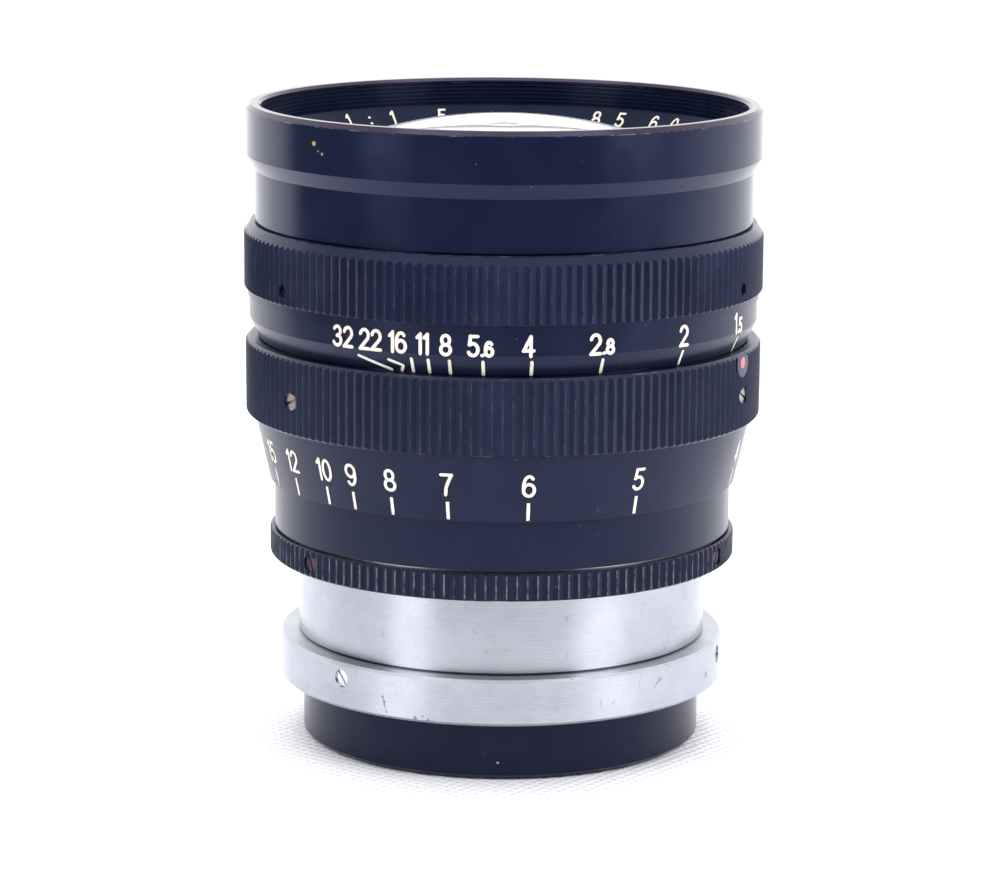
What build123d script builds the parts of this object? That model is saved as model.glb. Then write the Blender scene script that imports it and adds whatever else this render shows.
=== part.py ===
from build123d import *
import math
import os

# A fast short-telephoto camera lens, standing front up on its rear cap.
# All sizes are millimetres. +Z is the optical axis, towards the front glass, and the
# origin is the centre of the rear cap's underside. Angles run from -Y towards +X.
# The lens is modelled at infinity focus with the aperture wide open.

# ---------------------------------------------------------------- driving dimensions
# rear cap
cap_radius = 24.65
cap_height = 7.25
cap_floor = 1.6
cap_wall = 2.2
cap_edge_round = 0.6
cap_top_edge = 0.25
cap_collar_gap = 0.5
cap_collar_rise = 1.2
cap_lug_reach = 1.3
cap_lug_height = 0.6
cap_lug_side_degrees = 12.0

# mount ring and barrel
mount_ring_radius = 27.53
mount_ring_height = 5.65
mount_ring_gap = 0.15
mount_ring_chamfer = 0.35
claw_height = 1.4
claw_reach = 0.4
claw_relief = 1.5
claw_count = 3
claw_sweep = 56.0
barrel_radius = 25.2
barrel_wall = 1.6
barrel_height = 9.85
barrel_spigot = 3.2
barrel_flange_thickness = 1.4

# narrow knurled ring and fixed index sleeve
grip_ring_radius = 28.77
grip_ring_height = 3.35
grip_ring_teeth = 146
index_sleeve_radius = 28.18
index_sleeve_wall = 0.58
index_sleeve_gap = 0.25

# focusing helicoid
helicoid_height = 16.6
helicoid_wall = 1.4
helicoid_lead = 13.0
guide_pin_radius = 0.7
guide_pin_rise = 4.6
guide_pin_count = 3
guide_pin_angle = 20.0
groove_depth = 0.9
groove_end_degrees = 4.5
inner_helicoid_wall = 1.7
inner_helicoid_flange = 1.3
rear_flange_thickness = 1.1
focus_turn_degrees = 224.0

# rangefinder coupling ring and its two keys
coupling_ring_wall = 2.0
coupling_ring_height = 12.3
coupling_retainer_height = 1.2
coupling_retainer_wall = 1.0
coupling_tab_degrees = 20.0
coupling_tab_height = 1.6
key_width = 6.0
key_depth = 0.8
key_length = 15.4
key_count = 2

# focus ring with its distance cone
focus_ring_radius = 31.65
focus_ring_height = 9.33
focus_ring_teeth = 164
focus_ring_chamfer = 0.5
cone_height = 8.2
cone_top_radius = 30.6
cone_bottom_radius = 28.75
cone_step = 0.35
cone_drop = 8.77

# aperture ring with its scale band
aperture_ring_radius = 31.8
aperture_ring_teeth = 162
aperture_top_radius = 31.0
aperture_top_land = 0.15
aperture_cone_height = 1.15
aperture_knurl_height = 6.78
aperture_light_band = 0.83
aperture_light_radius = 31.35
scale_radius = 31.15
scale_height = 2.7
bevel_height = 2.37
bevel_radius = 30.1
aperture_turn_degrees = 92.0
knurl_depth = 0.27

# front barrel, neck and rim
neck_radius = 30.47
neck_height = 6.25
rim_radius = 31.5
rim_height = 6.1
rim_cone_height = 1.8
rim_chamfer = 0.55
head_tube_radius = 29.5
head_tube_bore = 28.0

# filter thread and name ring
filter_minor_radius = 29.73
thread_pitch = 0.5
thread_depth = 0.26
thread_turns = 6
rim_bore_chamfer = 0.35
name_ring_top_drop = 3.5
name_ring_slope_height = 2.4
name_ring_inner_radius = 27.6

# lens elements: edge radius, then front vertex, and curvature of each surface
front_glass_radius = 28.8
front_glass_vertex_drop = 1.5
front_curve = 58.0
front_glass_thickness = 7.3
front_back_curve = 150.0
middle_glass_radius = 24.5
middle_air_gap = 0.5
middle_curves = (50.0, 250.0, -200.0, 26.0)
middle_thicknesses = (7.0, 3.9, 2.0)
rear_glass_sink = 0.4
rear_cell_wall = 2.0
rear_cell_gap = 2.5
rear_curves = (250.0, 26.0, -35.0, -60.0)
rear_thicknesses = (1.5, 17.0, 2.5)

# iris
blade_count = 12
iris_open_radius = 18.6
iris_closed_radius = 0.9
blade_thickness = 0.1
blade_gap = 0.06
blade_pin_radius = 0.3
blade_lobe_radius = 0.8
blade_arm = 6.0
blade_reach_degrees = 106.0
iris_base_thickness = 1.2
iris_plate_thickness = 1.0
iris_drum_wall = 0.82
iris_drum_rise = 1.6
shoulder_thickness = 1.5
middle_flange_thickness = 1.6
middle_clear_margin = 0.2

# fasteners
set_screw_radius = 1.08
set_screw_slot_width = 0.28
set_screw_slot_depth = 0.3
set_screw_count = 3
drive_screw_radius = 0.75
slot_step_degrees = 50.0
mount_screw_drop = 0.3
grip_screw_rise = 0.28
focus_screw_rise = 4.1
drive_screw_rise = 1.75

# clearances
running_clearance = 0.08
seat_clearance = 0.02
body_gap = 0.2
pin_clearance = 0.06
helicoid_clearance = 0.08
helicoid_end_gap = 0.3
blade_end_gap = 0.15
skirt_gap = 0.12
cell_gap = 0.25

# angles of the first set screw of each ring and its slot, and of the index plug
mount_screw_angle = -44.1
grip_screw_angle = -53.6
focus_screw_angle = -53.2
drive_screw_angle = -55.6
mount_slot_angle = 50.0
grip_slot_angle = 65.0
focus_slot_angle = -22.0
drive_slot_angle = 35.0
index_angle = 65.6
index_plug_radius = 1.75
index_plug_depth = 1.2
index_plug_sink = 0.02
index_dot_radius = 0.7
index_dot_depth = 0.35
index_drop = 1.15

# ---------------------------------------------------------------- heights worked out
mount_ring_low = cap_height + mount_ring_gap
mount_ring_high = mount_ring_low + mount_ring_height
barrel_high = mount_ring_high + barrel_height
barrel_flange_high = barrel_high + barrel_flange_thickness
grip_ring_high = barrel_high + grip_ring_height
index_sleeve_low = grip_ring_high + index_sleeve_gap
outer_helicoid_high = barrel_flange_high + helicoid_height
inner_flange_low = outer_helicoid_high + helicoid_end_gap
inner_flange_high = inner_flange_low + inner_helicoid_flange
rear_flange_high = inner_flange_high + rear_flange_thickness
iris_base_high = rear_flange_high + iris_base_thickness
first_blade_low = iris_base_high + blade_end_gap
blade_step = blade_thickness + blade_gap
blades_high = first_blade_low + blade_step * (blade_count - 1) + blade_thickness
iris_plate_low = blades_high + blade_end_gap
iris_plate_high = iris_plate_low + iris_plate_thickness
cone_low = inner_flange_low - cone_drop
focus_ring_low = cone_low + cone_height
focus_ring_high = focus_ring_low + focus_ring_height
bevel_low = focus_ring_high + body_gap
scale_low = bevel_low + bevel_height
light_band_low = scale_low + scale_height
knurl_low = light_band_low + aperture_light_band
knurl_high = knurl_low + aperture_knurl_height
aperture_ring_high = knurl_high + aperture_cone_height + aperture_top_land
neck_low = aperture_ring_high + body_gap
rim_cone_low = neck_low + neck_height
rim_low = rim_cone_low + rim_cone_height
lens_high = rim_low + rim_height

# ---------------------------------------------------------------- radii worked out
barrel_bore = barrel_radius - barrel_wall
claw_inner_radius = barrel_bore - claw_reach
cap_collar_radius = claw_inner_radius - cap_collar_gap
sleeve_bore = index_sleeve_radius - index_sleeve_wall
outer_helicoid_radius = sleeve_bore - seat_clearance
outer_helicoid_bore = outer_helicoid_radius - helicoid_wall
inner_helicoid_radius = outer_helicoid_bore - helicoid_clearance
inner_helicoid_bore = inner_helicoid_radius - inner_helicoid_wall
skirt_bore = index_sleeve_radius + skirt_gap
coupling_radius = barrel_bore - running_clearance
coupling_bore = coupling_radius - coupling_ring_wall
rear_cell_radius = coupling_bore - rear_cell_gap
rear_glass_radius = rear_cell_radius - rear_cell_wall - seat_clearance
drum_radius = head_tube_bore - running_clearance
drum_bore = drum_radius - iris_drum_wall
middle_cell_radius = drum_bore - cell_gap
blade_turn = math.radians(aperture_turn_degrees) / 2
pivot_radius = (iris_open_radius - iris_closed_radius) / (2 * math.sin(blade_turn / 2))
blade_outer_radius = pivot_radius - blade_pin_radius - cell_gap
arm_angle = math.pi / 2 - blade_turn / 2


# ---------------------------------------------------------------- shape helpers
def turned(*points):
    """Return the solid turned about the optical axis from (radius, height) points."""
    outline = Polyline(*[(r, 0, z) for r, z in points], close=True)
    return revolve(make_face(outline), axis=Axis.Z, revolution_arc=360)


def tube(outer, inner, low, high):
    """Return a plain tube between two heights."""
    return turned((inner, low), (outer, low), (outer, high), (inner, high))


def disc(radius, low, high):
    """Return a solid cylinder on the optical axis."""
    height = high - low
    return Pos(0, 0, low + height / 2) * Cylinder(radius, height)


def around(shape, count, first=0.0):
    """Return copies of a shape turned evenly about the axis, starting at an angle."""
    return [Rot(0, 0, first + 360 / count * k) * shape for k in range(count)]


def joined(shapes):
    """Return one shape made of several."""
    total = shapes[0]
    for shape in shapes[1:]:
        total = total + shape
    return total


def wedge(sweep, outer, low, high):
    """Return a pie piece centred on the -Y direction."""
    half = math.radians(sweep / 2)
    reach = outer / math.cos(half) if sweep < 120 else outer * 4
    left = (-reach * math.sin(half), -reach * math.cos(half))
    right = (reach * math.sin(half), -reach * math.cos(half))
    face = make_face(Polyline((0, 0), left, right, close=True))
    return Pos(0, 0, low) * extrude(face, amount=high - low)


def toothed(radius, teeth, low, high):
    """Return a prism whose side is a ring of shallow V grooves between sharp crests."""
    points = []
    for k in range(teeth * 2):
        turn = math.pi * k / teeth
        reach = radius if k % 2 == 0 else radius - knurl_depth
        points.append((reach * math.cos(turn), reach * math.sin(turn)))
    face = make_face(Polyline(*points, close=True))
    return Pos(0, 0, low) * extrude(face, amount=high - low)


def radial_rod(radius, inner, outer, height):
    """Return a rod pointing outwards along -Y."""
    length = outer - inner
    return Pos(0, -(inner + outer) / 2, height) * Rot(90, 0, 0) * Cylinder(radius, length)


def set_screw(radius, inner, outer, height, slot_angle):
    """Return a headless slotted screw lying along -Y, its slot in the outer end."""
    rod = radial_rod(radius, inner, outer, height)
    slot = Box(2 * radius + 1, 2 * set_screw_slot_depth, set_screw_slot_width)
    return rod - Pos(0, -outer, height) * Rot(0, slot_angle, 0) * slot


def surface_height(vertex, curve, radius):
    """Return the height of a spherical surface at a radius; a plus curve bulges up."""
    sag = abs(curve) - math.sqrt(curve * curve - radius * radius)
    return vertex - math.copysign(sag, curve)


def surface_arc(vertex, curve, radius):
    """Return the half outline of a spherical surface."""
    middle = radius / 2
    return ThreePointArc(
        (0, 0, vertex),
        (middle, 0, surface_height(vertex, curve, middle)),
        (radius, 0, surface_height(vertex, curve, radius)),
    )


def element(radius, front_vertex, front_bend, back_vertex, back_bend, back_radius=None):
    """Return one glass element, with a flat back rim where back_radius is given."""
    back_clear = back_radius or radius
    front = surface_arc(front_vertex, front_bend, radius)
    back = surface_arc(back_vertex, back_bend, back_clear)
    back_edge = surface_height(back_vertex, back_bend, back_clear)
    edge_points = [(radius, 0, surface_height(front_vertex, front_bend, radius)), (radius, 0, back_edge)]
    if back_radius:
        edge_points.append((back_clear, 0, back_edge))
    edge = Polyline(*edge_points)
    axis_line = Line((0, 0, back_vertex), (0, 0, front_vertex))
    face = make_face(front.edges() + edge.edges() + back.edges() + axis_line.edges())
    return revolve(face, axis=Axis.Z, revolution_arc=360)


def helical_groove():
    """Return the cutter for the left-handed groove that starts beside the +X axis."""
    height = helicoid_lead * (focus_turn_degrees + 2 * groove_end_degrees) / 360
    path = Helix(pitch=helicoid_lead, height=height, radius=outer_helicoid_bore, lefthand=True)
    section_plane = Plane(origin=path @ 0, x_dir=(1, 0, 0), z_dir=path % 0)
    half = guide_pin_radius + running_clearance
    outline = Polyline((-0.5, -half), (groove_depth, -half), (groove_depth, half), (-0.5, half), close=True)
    groove = sweep(section_plane * make_face(outline), path=path, is_frenet=True)
    low = guide_pin_height - helicoid_lead * groove_end_degrees / 360
    return Pos(0, 0, low) * Rot(0, 0, groove_end_degrees) * groove


def saved(name, *shapes):
    """Write one node; several shapes are kept as separate solids in it."""
    whole = shapes[0] if len(shapes) == 1 else Compound(children=list(shapes))
    export_step(whole, "parts/" + name + ".step")


# ---------------------------------------------------------------- fixed mount
def build_mount_barrel():
    """Tube between the mount ring and the helicoid, with a flange at its top."""
    shape = turned(
        (barrel_bore, mount_ring_high - barrel_spigot),
        (barrel_radius - seat_clearance, mount_ring_high - barrel_spigot),
        (barrel_radius - seat_clearance, mount_ring_high),
        (barrel_radius, mount_ring_high),
        (barrel_radius, barrel_high),
        (outer_helicoid_radius, barrel_high),
        (outer_helicoid_radius, barrel_flange_high),
        (barrel_bore, barrel_flange_high),
    )
    holes = around(
        radial_rod(set_screw_radius, barrel_bore - 1, barrel_radius + 1, mount_screw_height),
        set_screw_count, mount_screw_angle)
    holes += around(
        radial_rod(set_screw_radius, barrel_radius, outer_helicoid_radius + 1, grip_screw_height),
        set_screw_count, grip_screw_angle)
    return shape - joined(holes)


def build_mount_ring():
    """Satin ring that carries the outer bayonet claws."""
    claw_high = mount_ring_low + claw_height
    relief_radius = claw_inner_radius + claw_relief
    shape = turned(
        (relief_radius, mount_ring_low),
        (mount_ring_radius - mount_ring_chamfer, mount_ring_low),
        (mount_ring_radius, mount_ring_low + mount_ring_chamfer),
        (mount_ring_radius, mount_ring_high - mount_ring_chamfer),
        (mount_ring_radius - mount_ring_chamfer, mount_ring_high),
        (barrel_radius, mount_ring_high),
        (barrel_radius, mount_ring_high - barrel_spigot),
        (relief_radius, mount_ring_high - barrel_spigot),
    )
    claw_ring = tube(relief_radius + 0.1, claw_inner_radius, mount_ring_low, claw_high)
    claw = claw_ring & wedge(claw_sweep, claw_inner_radius * 1.6, mount_ring_low - 1, claw_high + 1)
    shape = shape + joined(around(claw, claw_count, mount_screw_angle))
    holes = around(
        radial_rod(set_screw_radius, barrel_bore, mount_ring_radius + 1, mount_screw_height),
        set_screw_count, mount_screw_angle)
    return shape - joined(holes)


def build_grip_ring():
    """Narrow knurled ring at the top of the barrel."""
    low = barrel_high
    chamfer = 0.3
    bore = sleeve_bore
    blank = turned(
        (bore, low),
        (grip_ring_radius - chamfer, low),
        (grip_ring_radius, low + chamfer),
        (grip_ring_radius, grip_ring_high - chamfer),
        (grip_ring_radius - chamfer, grip_ring_high),
        (bore, grip_ring_high),
    )
    shape = blank & toothed(grip_ring_radius, grip_ring_teeth, low - 1, grip_ring_high + 1)
    holes = around(
        radial_rod(set_screw_radius, bore - 1, grip_ring_radius + 1, grip_screw_height),
        set_screw_count, grip_screw_angle)
    return shape - joined(holes)


def build_outer_helicoid():
    """Fixed half of the focusing helicoid: three helical grooves guide the head's pins."""
    shape = tube(outer_helicoid_radius, outer_helicoid_bore, barrel_flange_high, outer_helicoid_high)
    for groove in around(helical_groove(), guide_pin_count, guide_pin_angle):
        shape = shape - groove
    holes = around(
        radial_rod(set_screw_radius, outer_helicoid_bore - 1, outer_helicoid_radius + 1, grip_screw_height),
        set_screw_count, grip_screw_angle)
    return shape - joined(holes)


def build_index_sleeve():
    """Fixed black sleeve under the distance cone."""
    return tube(index_sleeve_radius, sleeve_bore, index_sleeve_low, outer_helicoid_high)


# ---------------------------------------------------------------- coupling ring
def build_coupling_ring():
    """Ring that only turns: its two keys follow the head, its tab drives the camera."""
    low = coupling_high - coupling_ring_height
    shape = tube(coupling_radius, coupling_bore, low, coupling_high)
    key_root = math.sqrt(coupling_radius ** 2 - (key_width / 2) ** 2) - 0.05
    key_outer = inner_helicoid_bore + key_depth - running_clearance
    key_high = coupling_high + key_length
    web_low = barrel_flange_high + body_gap
    stem_height = key_high - coupling_high + 2.0
    stem = Pos(0, -(coupling_bore + key_root) / 2, key_high - stem_height / 2)
    stem = stem * Box(key_width, key_root - coupling_bore, stem_height)
    edge = Pos(0, -(key_root + key_outer) / 2, (web_low + key_high) / 2)
    edge = edge * Box(key_width, key_outer - key_root + 0.4, key_high - web_low)
    edge = edge & disc(key_outer, web_low - 1, key_high + 1)
    shape = shape + joined(around(stem + edge, key_count))
    tab_outer = coupling_radius - coupling_retainer_wall
    tab_low = low - coupling_tab_height
    tab = tube(tab_outer, coupling_bore, tab_low, low) & wedge(
        coupling_tab_degrees, coupling_radius * 2, tab_low - 1, low + 1)
    return shape + Rot(0, 0, 90) * tab


def build_coupling_retainer():
    """Ring screwed into the barrel below the coupling ring."""
    high = coupling_high - coupling_ring_height - body_gap
    outer = barrel_bore - seat_clearance
    inner = coupling_radius - coupling_retainer_wall + running_clearance
    return tube(outer, inner, high - coupling_retainer_height, high)


# ---------------------------------------------------------------- rear cap
def build_rear_cap():
    """Gloss cap: a shallow cup with a collar whose lugs sit between the claws."""
    inner = cap_collar_radius - cap_wall
    collar_high = mount_ring_low + claw_height + cap_collar_rise
    lug_low = mount_ring_low + claw_height + body_gap
    shape = turned(
        (0, 0),
        (cap_radius - cap_edge_round, 0),
        (cap_radius, cap_edge_round),
        (cap_radius, cap_height - cap_top_edge),
        (cap_radius - cap_top_edge, cap_height),
        (cap_collar_radius, cap_height),
        (cap_collar_radius, collar_high),
        (inner, collar_high),
        (inner, cap_floor),
        (0, cap_floor),
    )
    lug_high = lug_low + cap_lug_height
    lug_ring = tube(cap_collar_radius + cap_lug_reach, inner, lug_low, lug_high)
    lug_sweep = 360 / claw_count - claw_sweep - cap_lug_side_degrees
    lug = lug_ring & wedge(lug_sweep, cap_collar_radius * 1.6, lug_low - 1, lug_high + 1)
    return shape + joined(around(lug, claw_count, mount_screw_angle + 180 / claw_count))


# ---------------------------------------------------------------- focusing head
def build_inner_helicoid():
    """Moving half of the helicoid, with keyways, guide pin holes and a flange."""
    low = barrel_flange_high + body_gap + 0.3
    shape = turned(
        (inner_helicoid_bore, low),
        (inner_helicoid_radius, low),
        (inner_helicoid_radius, inner_flange_low),
        (head_tube_radius, inner_flange_low),
        (head_tube_radius, inner_flange_high),
        (inner_helicoid_bore, inner_flange_high),
    )
    keyway_outer = inner_helicoid_bore + key_depth
    keyway_height = inner_flange_low - low
    keyway = Pos(0, -keyway_outer + 1.5, low + keyway_height / 2 - 1)
    keyway = keyway * Box(key_width + 2 * running_clearance, 3.0, keyway_height + 2)
    keyway = keyway & disc(keyway_outer, low - 3, inner_flange_low + 1)
    hole = Rot(0, 0, 90) * radial_rod(guide_pin_radius, inner_helicoid_bore - 1, inner_helicoid_radius + 1,
                                      guide_pin_height)
    return shape - joined(around(keyway, key_count) + around(hole, guide_pin_count, guide_pin_angle))


def build_guide_pins():
    """Return the pins that ride in the helical grooves."""
    reach = outer_helicoid_bore + groove_depth - 0.15
    pin = Rot(0, 0, 90) * radial_rod(guide_pin_radius, inner_helicoid_bore + 0.2, reach, guide_pin_height)
    return around(pin, guide_pin_count, guide_pin_angle)


def build_focus_ring():
    """Knurled focus ring with the distance cone below it."""
    blank = turned(
        (skirt_bore, cone_low),
        (cone_bottom_radius, cone_low),
        (cone_top_radius, focus_ring_low),
        (focus_ring_radius - cone_step, focus_ring_low),
        (focus_ring_radius, focus_ring_low + cone_step),
        (focus_ring_radius, focus_ring_high - focus_ring_chamfer),
        (focus_ring_radius - focus_ring_chamfer, focus_ring_high),
        (head_tube_radius + seat_clearance, focus_ring_high),
        (head_tube_radius + seat_clearance, inner_flange_low),
        (skirt_bore, inner_flange_low),
    )
    shape = blank & toothed(focus_ring_radius, focus_ring_teeth, cone_low - 1, focus_ring_high + 1)
    holes = around(
        radial_rod(set_screw_radius, head_tube_radius - 1, focus_ring_radius + 1, focus_screw_height),
        set_screw_count, focus_screw_angle)
    plug = radial_rod(index_plug_radius, focus_ring_radius - index_plug_depth, focus_ring_radius + 1,
                      focus_ring_high - index_drop)
    return shape - joined(holes) - Rot(0, 0, index_angle) * plug


def build_index_plug():
    """Smooth plug beside the aperture scale, trimmed to the ring and drilled for the dot."""
    height = focus_ring_high - index_drop
    reach = focus_ring_radius - index_plug_sink
    back = focus_ring_radius - index_plug_depth
    low = height - index_plug_radius - 1
    ring = turned(
        (back - 1, low),
        (reach, low),
        (reach, focus_ring_high - focus_ring_chamfer),
        (reach - focus_ring_chamfer, focus_ring_high),
        (back - 1, focus_ring_high),
    )
    plug = radial_rod(index_plug_radius, back, focus_ring_radius + 1, height) & ring
    socket = radial_rod(index_dot_radius, reach - index_dot_depth, reach + 1, height)
    return Rot(0, 0, index_angle) * (plug - socket)


def build_index_dot():
    """Enamel dot in the plug."""
    height = focus_ring_high - index_drop
    reach = focus_ring_radius - index_plug_sink
    dot = radial_rod(index_dot_radius, reach - index_dot_depth, reach - index_plug_sink, height)
    return Rot(0, 0, index_angle) * dot


def build_head_barrel():
    """Main tube: bearing for the aperture ring, neck, rim and filter thread."""
    bore_chamfer_low = lens_high - rim_bore_chamfer
    shape = turned(
        (head_tube_bore, inner_flange_high),
        (head_tube_radius, inner_flange_high),
        (head_tube_radius, neck_low),
        (neck_radius, neck_low),
        (neck_radius, rim_cone_low),
        (rim_radius, rim_low),
        (rim_radius, lens_high - rim_chamfer),
        (rim_radius - rim_chamfer, lens_high),
        (filter_minor_radius + rim_bore_chamfer, lens_high),
        (filter_minor_radius, bore_chamfer_low),
        (filter_minor_radius, front_seat_high),
        (front_glass_radius + seat_clearance, front_seat_high),
        (front_glass_radius + seat_clearance, middle_flange_low),
        (middle_cell_radius + seat_clearance, middle_flange_low),
        (middle_cell_radius + seat_clearance, shoulder_low),
        (head_tube_bore, shoulder_low),
    )
    for k in range(thread_turns):
        middle = bore_chamfer_low - thread_pitch * (k + 0.75)
        groove = turned(
            (filter_minor_radius - 0.1, middle - thread_pitch * 0.42),
            (filter_minor_radius + thread_depth, middle - thread_pitch * 0.08),
            (filter_minor_radius + thread_depth, middle + thread_pitch * 0.08),
            (filter_minor_radius - 0.1, middle + thread_pitch * 0.42),
        )
        shape = shape - groove
    slot_sweep = aperture_turn_degrees + math.degrees(2 * (drive_screw_radius + body_gap) / head_tube_bore)
    slot_half_height = drive_screw_radius + body_gap / 2
    slot_ring = tube(head_tube_radius + 1, head_tube_bore - 1,
                     drive_screw_height - slot_half_height, drive_screw_height + slot_half_height)
    slot = slot_ring & wedge(slot_sweep, head_tube_radius * 3, 0, lens_high)
    middle_angle = drive_screw_angle + aperture_turn_degrees / 2
    shape = shape - joined(around(slot, set_screw_count, middle_angle))
    holes = around(
        radial_rod(set_screw_radius, head_tube_bore - 1, head_tube_radius + 1, focus_screw_height),
        set_screw_count, focus_screw_angle)
    return shape - joined(holes)


def build_name_ring():
    """Sloped ring that holds the front glass."""
    outer = filter_minor_radius - seat_clearance
    return turned(
        (name_ring_inner_radius, name_ring_seat),
        (outer, name_ring_seat),
        (outer, name_ring_high),
        (outer - 0.15, name_ring_high),
        (name_ring_inner_radius, name_ring_high - name_ring_slope_height),
    )


def build_front_spacer():
    """Spacer between the front glass and the middle cell."""
    outer = front_glass_radius
    inner = middle_glass_radius + 1.2
    back_curve_inner = surface_height(front_back_vertex, front_back_curve, inner)
    back_curve_outer = surface_height(front_back_vertex, front_back_curve, outer)
    return turned(
        (inner, middle_flange_high),
        (outer, middle_flange_high),
        (outer, back_curve_outer - 0.01),
        (inner, min(back_curve_inner, back_curve_outer) - 0.01),
    )


def build_middle_cell():
    """Cell for the cemented middle group, hung from its flange."""
    bore = middle_glass_radius + seat_clearance
    ledge_radius = middle_back_clear + 0.6
    return turned(
        (ledge_radius, middle_cell_low),
        (middle_cell_radius, middle_cell_low),
        (middle_cell_radius, middle_flange_low),
        (front_glass_radius, middle_flange_low),
        (front_glass_radius, middle_flange_high),
        (bore, middle_flange_high),
        (bore, middle_back_edge),
        (ledge_radius, middle_back_edge),
    )


def build_middle_retainer():
    """Threaded ring that holds the middle group down."""
    edge = surface_height(middle_front_vertex, middle_curves[0], middle_glass_radius)
    inner = middle_glass_radius - 0.8
    inner_edge = surface_height(middle_front_vertex, middle_curves[0], inner)
    return turned(
        (inner, inner_edge + 0.01),
        (middle_glass_radius, edge + 0.01),
        (middle_glass_radius, inner_edge + 1.0),
        (inner, inner_edge + 1.0),
    )


def build_rear_cell():
    """Cell for the cemented rear group."""
    bore = rear_glass_radius + seat_clearance
    rear_edge = surface_height(rear_vertices[3], rear_curves[3], rear_glass_radius)
    front_edge = surface_height(rear_vertices[0], rear_curves[0], rear_glass_radius)
    low = rear_edge - 2.6
    ledge = rear_glass_radius - 0.8
    return turned(
        (bore, low),
        (rear_cell_radius, low),
        (rear_cell_radius, inner_flange_high),
        (head_tube_bore - seat_clearance, inner_flange_high),
        (head_tube_bore - seat_clearance, rear_flange_high),
        (ledge, rear_flange_high),
        (ledge, front_edge + 0.1),
        (bore, front_edge + 0.1),
    )


def build_rear_retainer():
    """Threaded ring behind the rear group."""
    edge = surface_height(rear_vertices[3], rear_curves[3], rear_glass_radius)
    inner = rear_glass_radius - 1.2
    return turned(
        (inner, edge - 1.4),
        (rear_glass_radius, edge - 1.4),
        (rear_glass_radius, edge - 0.02),
        (inner, surface_height(rear_vertices[3], rear_curves[3], inner) - 0.02),
    )


def build_iris_base():
    """Fixed plate that carries the blade pivots."""
    shape = tube(head_tube_bore - seat_clearance, iris_open_radius + 0.2, rear_flange_high, iris_base_high)
    hole = Pos(0, -pivot_radius, (rear_flange_high + iris_base_high) / 2)
    hole = hole * Cylinder(blade_pin_radius + pin_clearance, iris_base_thickness * 2)
    return shape - joined(around(hole, blade_count))


# ---------------------------------------------------------------- aperture ring
def build_aperture_ring():
    """Knurled aperture ring with its scale band and bevel."""
    bore = head_tube_radius + running_clearance
    blank = turned(
        (bore, bevel_low),
        (bevel_radius, bevel_low),
        (scale_radius, scale_low),
        (scale_radius, light_band_low),
        (aperture_light_radius, light_band_low),
        (aperture_light_radius, knurl_low),
        (aperture_ring_radius - knurl_depth, knurl_low),
        (aperture_ring_radius, knurl_low + knurl_depth),
        (aperture_ring_radius, knurl_high),
        (aperture_top_radius, knurl_high + aperture_cone_height),
        (aperture_top_radius, aperture_ring_high),
        (bore, aperture_ring_high),
    )
    teeth = toothed(aperture_ring_radius, aperture_ring_teeth, bevel_low - 1, aperture_ring_high + 1)
    shape = blank & teeth
    holes = around(
        radial_rod(drive_screw_radius, bore - 1, aperture_ring_radius + 1, drive_screw_height),
        set_screw_count, drive_screw_angle)
    return shape - joined(holes)


def pin_place(turn):
    """Return a blade's drive pin, measured with its pivot on the +X axis."""
    angle = arm_angle + turn
    return (pivot_radius + blade_arm * math.cos(angle), blade_arm * math.sin(angle))


def slot_face():
    """Return the slot that one drive pin follows in the turning plate."""
    half = blade_pin_radius + pin_clearance
    steps = 14
    centre = []
    for k in range(steps + 1):
        turn = blade_turn * k / steps
        x, y = pin_place(turn)
        reach = math.hypot(x, y)
        angle = math.atan2(y, x) - 2 * turn
        centre.append((reach * math.cos(angle), reach * math.sin(angle)))
    left = []
    right = []
    for k in range(steps + 1):
        before = centre[max(k - 1, 0)]
        after = centre[min(k + 1, steps)]
        dx = after[0] - before[0]
        dy = after[1] - before[1]
        length = math.hypot(dx, dy)
        left.append((centre[k][0] - dy / length * half, centre[k][1] + dx / length * half))
        right.append((centre[k][0] + dy / length * half, centre[k][1] - dx / length * half))
    sides = [Spline(*left), Line(left[-1], right[-1]), Spline(*right[::-1]), Line(right[0], left[0])]
    band = make_face(Curve() + sides)
    ends = [Pos(x, y) * Circle(half) for x, y in (centre[0], centre[-1])]
    return band + ends[0] + ends[1]


def build_iris_drum():
    """Turning plate with the curved slots, and the drum that the screws drive."""
    shape = turned(
        (iris_open_radius + 0.5, iris_plate_low),
        (drum_radius, iris_plate_low),
        (drum_radius, drum_high),
        (drum_bore, drum_high),
        (drum_bore, iris_plate_high),
        (iris_open_radius + 0.5, iris_plate_high),
    )
    slot = Pos(0, 0, iris_plate_low - 0.5) * extrude(slot_face(), amount=iris_plate_thickness + 1)
    shape = shape - joined(around(slot, blade_count, -90))
    holes = around(
        radial_rod(drive_screw_radius, drum_bore - 1, drum_radius + 1, drive_screw_height),
        set_screw_count, drive_screw_angle)
    return shape - joined(holes)


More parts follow.
